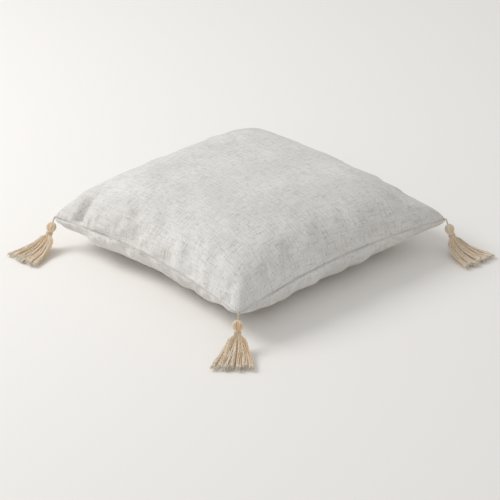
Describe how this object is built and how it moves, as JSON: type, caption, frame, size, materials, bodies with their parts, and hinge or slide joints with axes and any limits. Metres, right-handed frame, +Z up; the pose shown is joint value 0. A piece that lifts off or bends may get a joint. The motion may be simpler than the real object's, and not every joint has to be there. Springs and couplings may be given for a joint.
{
  "type": "floor cushion",
  "caption": "Square crowned floor cushion in a slubby linen-look cover, with a hidden zip, a fibre insert and a yarn tassel on each corner.",
  "frame": {"origin": "middle of the flat face that the cushion rests on", "axes": "+Z up; X and Y along the sides; the zip is in the seam of the +Y side"},
  "size_m": [0.7807, 0.7837, 0.1693],
  "materials": {
    "cover_linen": "matte plain weave with slubs",
    "sewing_thread": "matte twisted thread",
    "insert_cotton": "matte cotton",
    "insert_fibre": "loose fibre",
    "zip_tape": "matte woven tape",
    "zip_teeth": "satin moulded plastic",
    "zip_slider": "satin enamel",
    "tassel_cord": "matte twisted cotton cord",
    "tassel_yarn": "matte twisted cotton yarn"
  },
  "bodies": {
    "cushion": {"cover_top_panel": "cover_linen", "cover_bottom_panel": "cover_linen", "seam_thread": "sewing_thread", "insert_case_top": "insert_cotton", "insert_case_bottom": "insert_cotton", "insert_filling": "insert_fibre", "zip_tape_upper": "zip_tape", "zip_tape_lower": "zip_tape", "zip_teeth_upper": "zip_teeth", "zip_teeth_lower": "zip_teeth", "zip_top_stop_upper": "zip_teeth", "zip_top_stop_lower": "zip_teeth", "zip_bottom_stop": "zip_teeth"},
    "slider": {"zip_slider": "zip_slider"},
    "pull": {"zip_pull_tab": "zip_slider"},
    "loop_front": {"corner_loop_front": "tassel_cord"},
    "tassel_front": {"tassel_head_front": "tassel_yarn", "tassel_binding_front": "tassel_cord", "tassel_skirt_front": "tassel_yarn"},
    "loop_left": {"corner_loop_left": "tassel_cord"},
    "tassel_left": {"tassel_head_left": "tassel_yarn", "tassel_binding_left": "tassel_cord", "tassel_skirt_left": "tassel_yarn"},
    "loop_right": {"corner_loop_right": "tassel_cord"},
    "tassel_right": {"tassel_head_right": "tassel_yarn", "tassel_binding_right": "tassel_cord", "tassel_skirt_right": "tassel_yarn"},
    "loop_back": {"corner_loop_back": "tassel_cord"},
    "tassel_back": {"tassel_head_back": "tassel_yarn", "tassel_binding_back": "tassel_cord", "tassel_skirt_back": "tassel_yarn"}
  },
  "joints": [
    {"name": "zip_slide", "type": "slide", "parent": "cushion", "child": "slider", "axis": [-1, 0, 0], "range_m": [0, 0.39]},
    {"name": "pull_tab_flip", "type": "hinge", "parent": "slider", "child": "pull", "pos_m": [0.198, 0.2819, 0.072], "axis": [0, 0, -1], "range_deg": [0, 180]},
    {"name": "loop_swing_front", "type": "hinge", "parent": "cushion", "child": "loop_front", "pos_m": [0.28632, -0.28632, 0.066], "axis": [0, 0, 1], "range_deg": [-76, 84]},
    {"name": "tassel_lift_front", "type": "hinge", "parent": "loop_front", "child": "tassel_front", "pos_m": [0.28918, -0.2896, 0.05847], "axis": [-0.7547, -0.6561, 0], "range_deg": [0, 100]},
    {"name": "loop_swing_left", "type": "hinge", "parent": "cushion", "child": "loop_left", "pos_m": [-0.28632, -0.28632, 0.066], "axis": [0, 0, 1], "range_deg": [-132, 28]},
    {"name": "tassel_lift_left", "type": "hinge", "parent": "loop_left", "child": "tassel_left", "pos_m": [-0.28579, -0.29064, 0.05847], "axis": [-0.9925, -0.1219, 0], "range_deg": [0, 100]},
    {"name": "loop_swing_right", "type": "hinge", "parent": "cushion", "child": "loop_right", "pos_m": [0.28632, 0.28632, 0.066], "axis": [0, 0, 1], "range_deg": [-33, 127]},
    {"name": "tassel_lift_right", "type": "hinge", "parent": "loop_right", "child": "tassel_right", "pos_m": [0.29067, 0.28617, 0.05847], "axis": [-0.0349, -0.9994, 0], "range_deg": [0, 100]},
    {"name": "loop_swing_back", "type": "hinge", "parent": "cushion", "child": "loop_back", "pos_m": [-0.28632, 0.28632, 0.066], "axis": [0, 0, 1], "range_deg": [-80, 80]},
    {"name": "tassel_lift_back", "type": "hinge", "parent": "loop_back", "child": "tassel_back", "pos_m": [-0.2894, 0.2894, 0.05847], "axis": [0.7071, 0.7071, 0], "range_deg": [0, 100]}
  ]
}
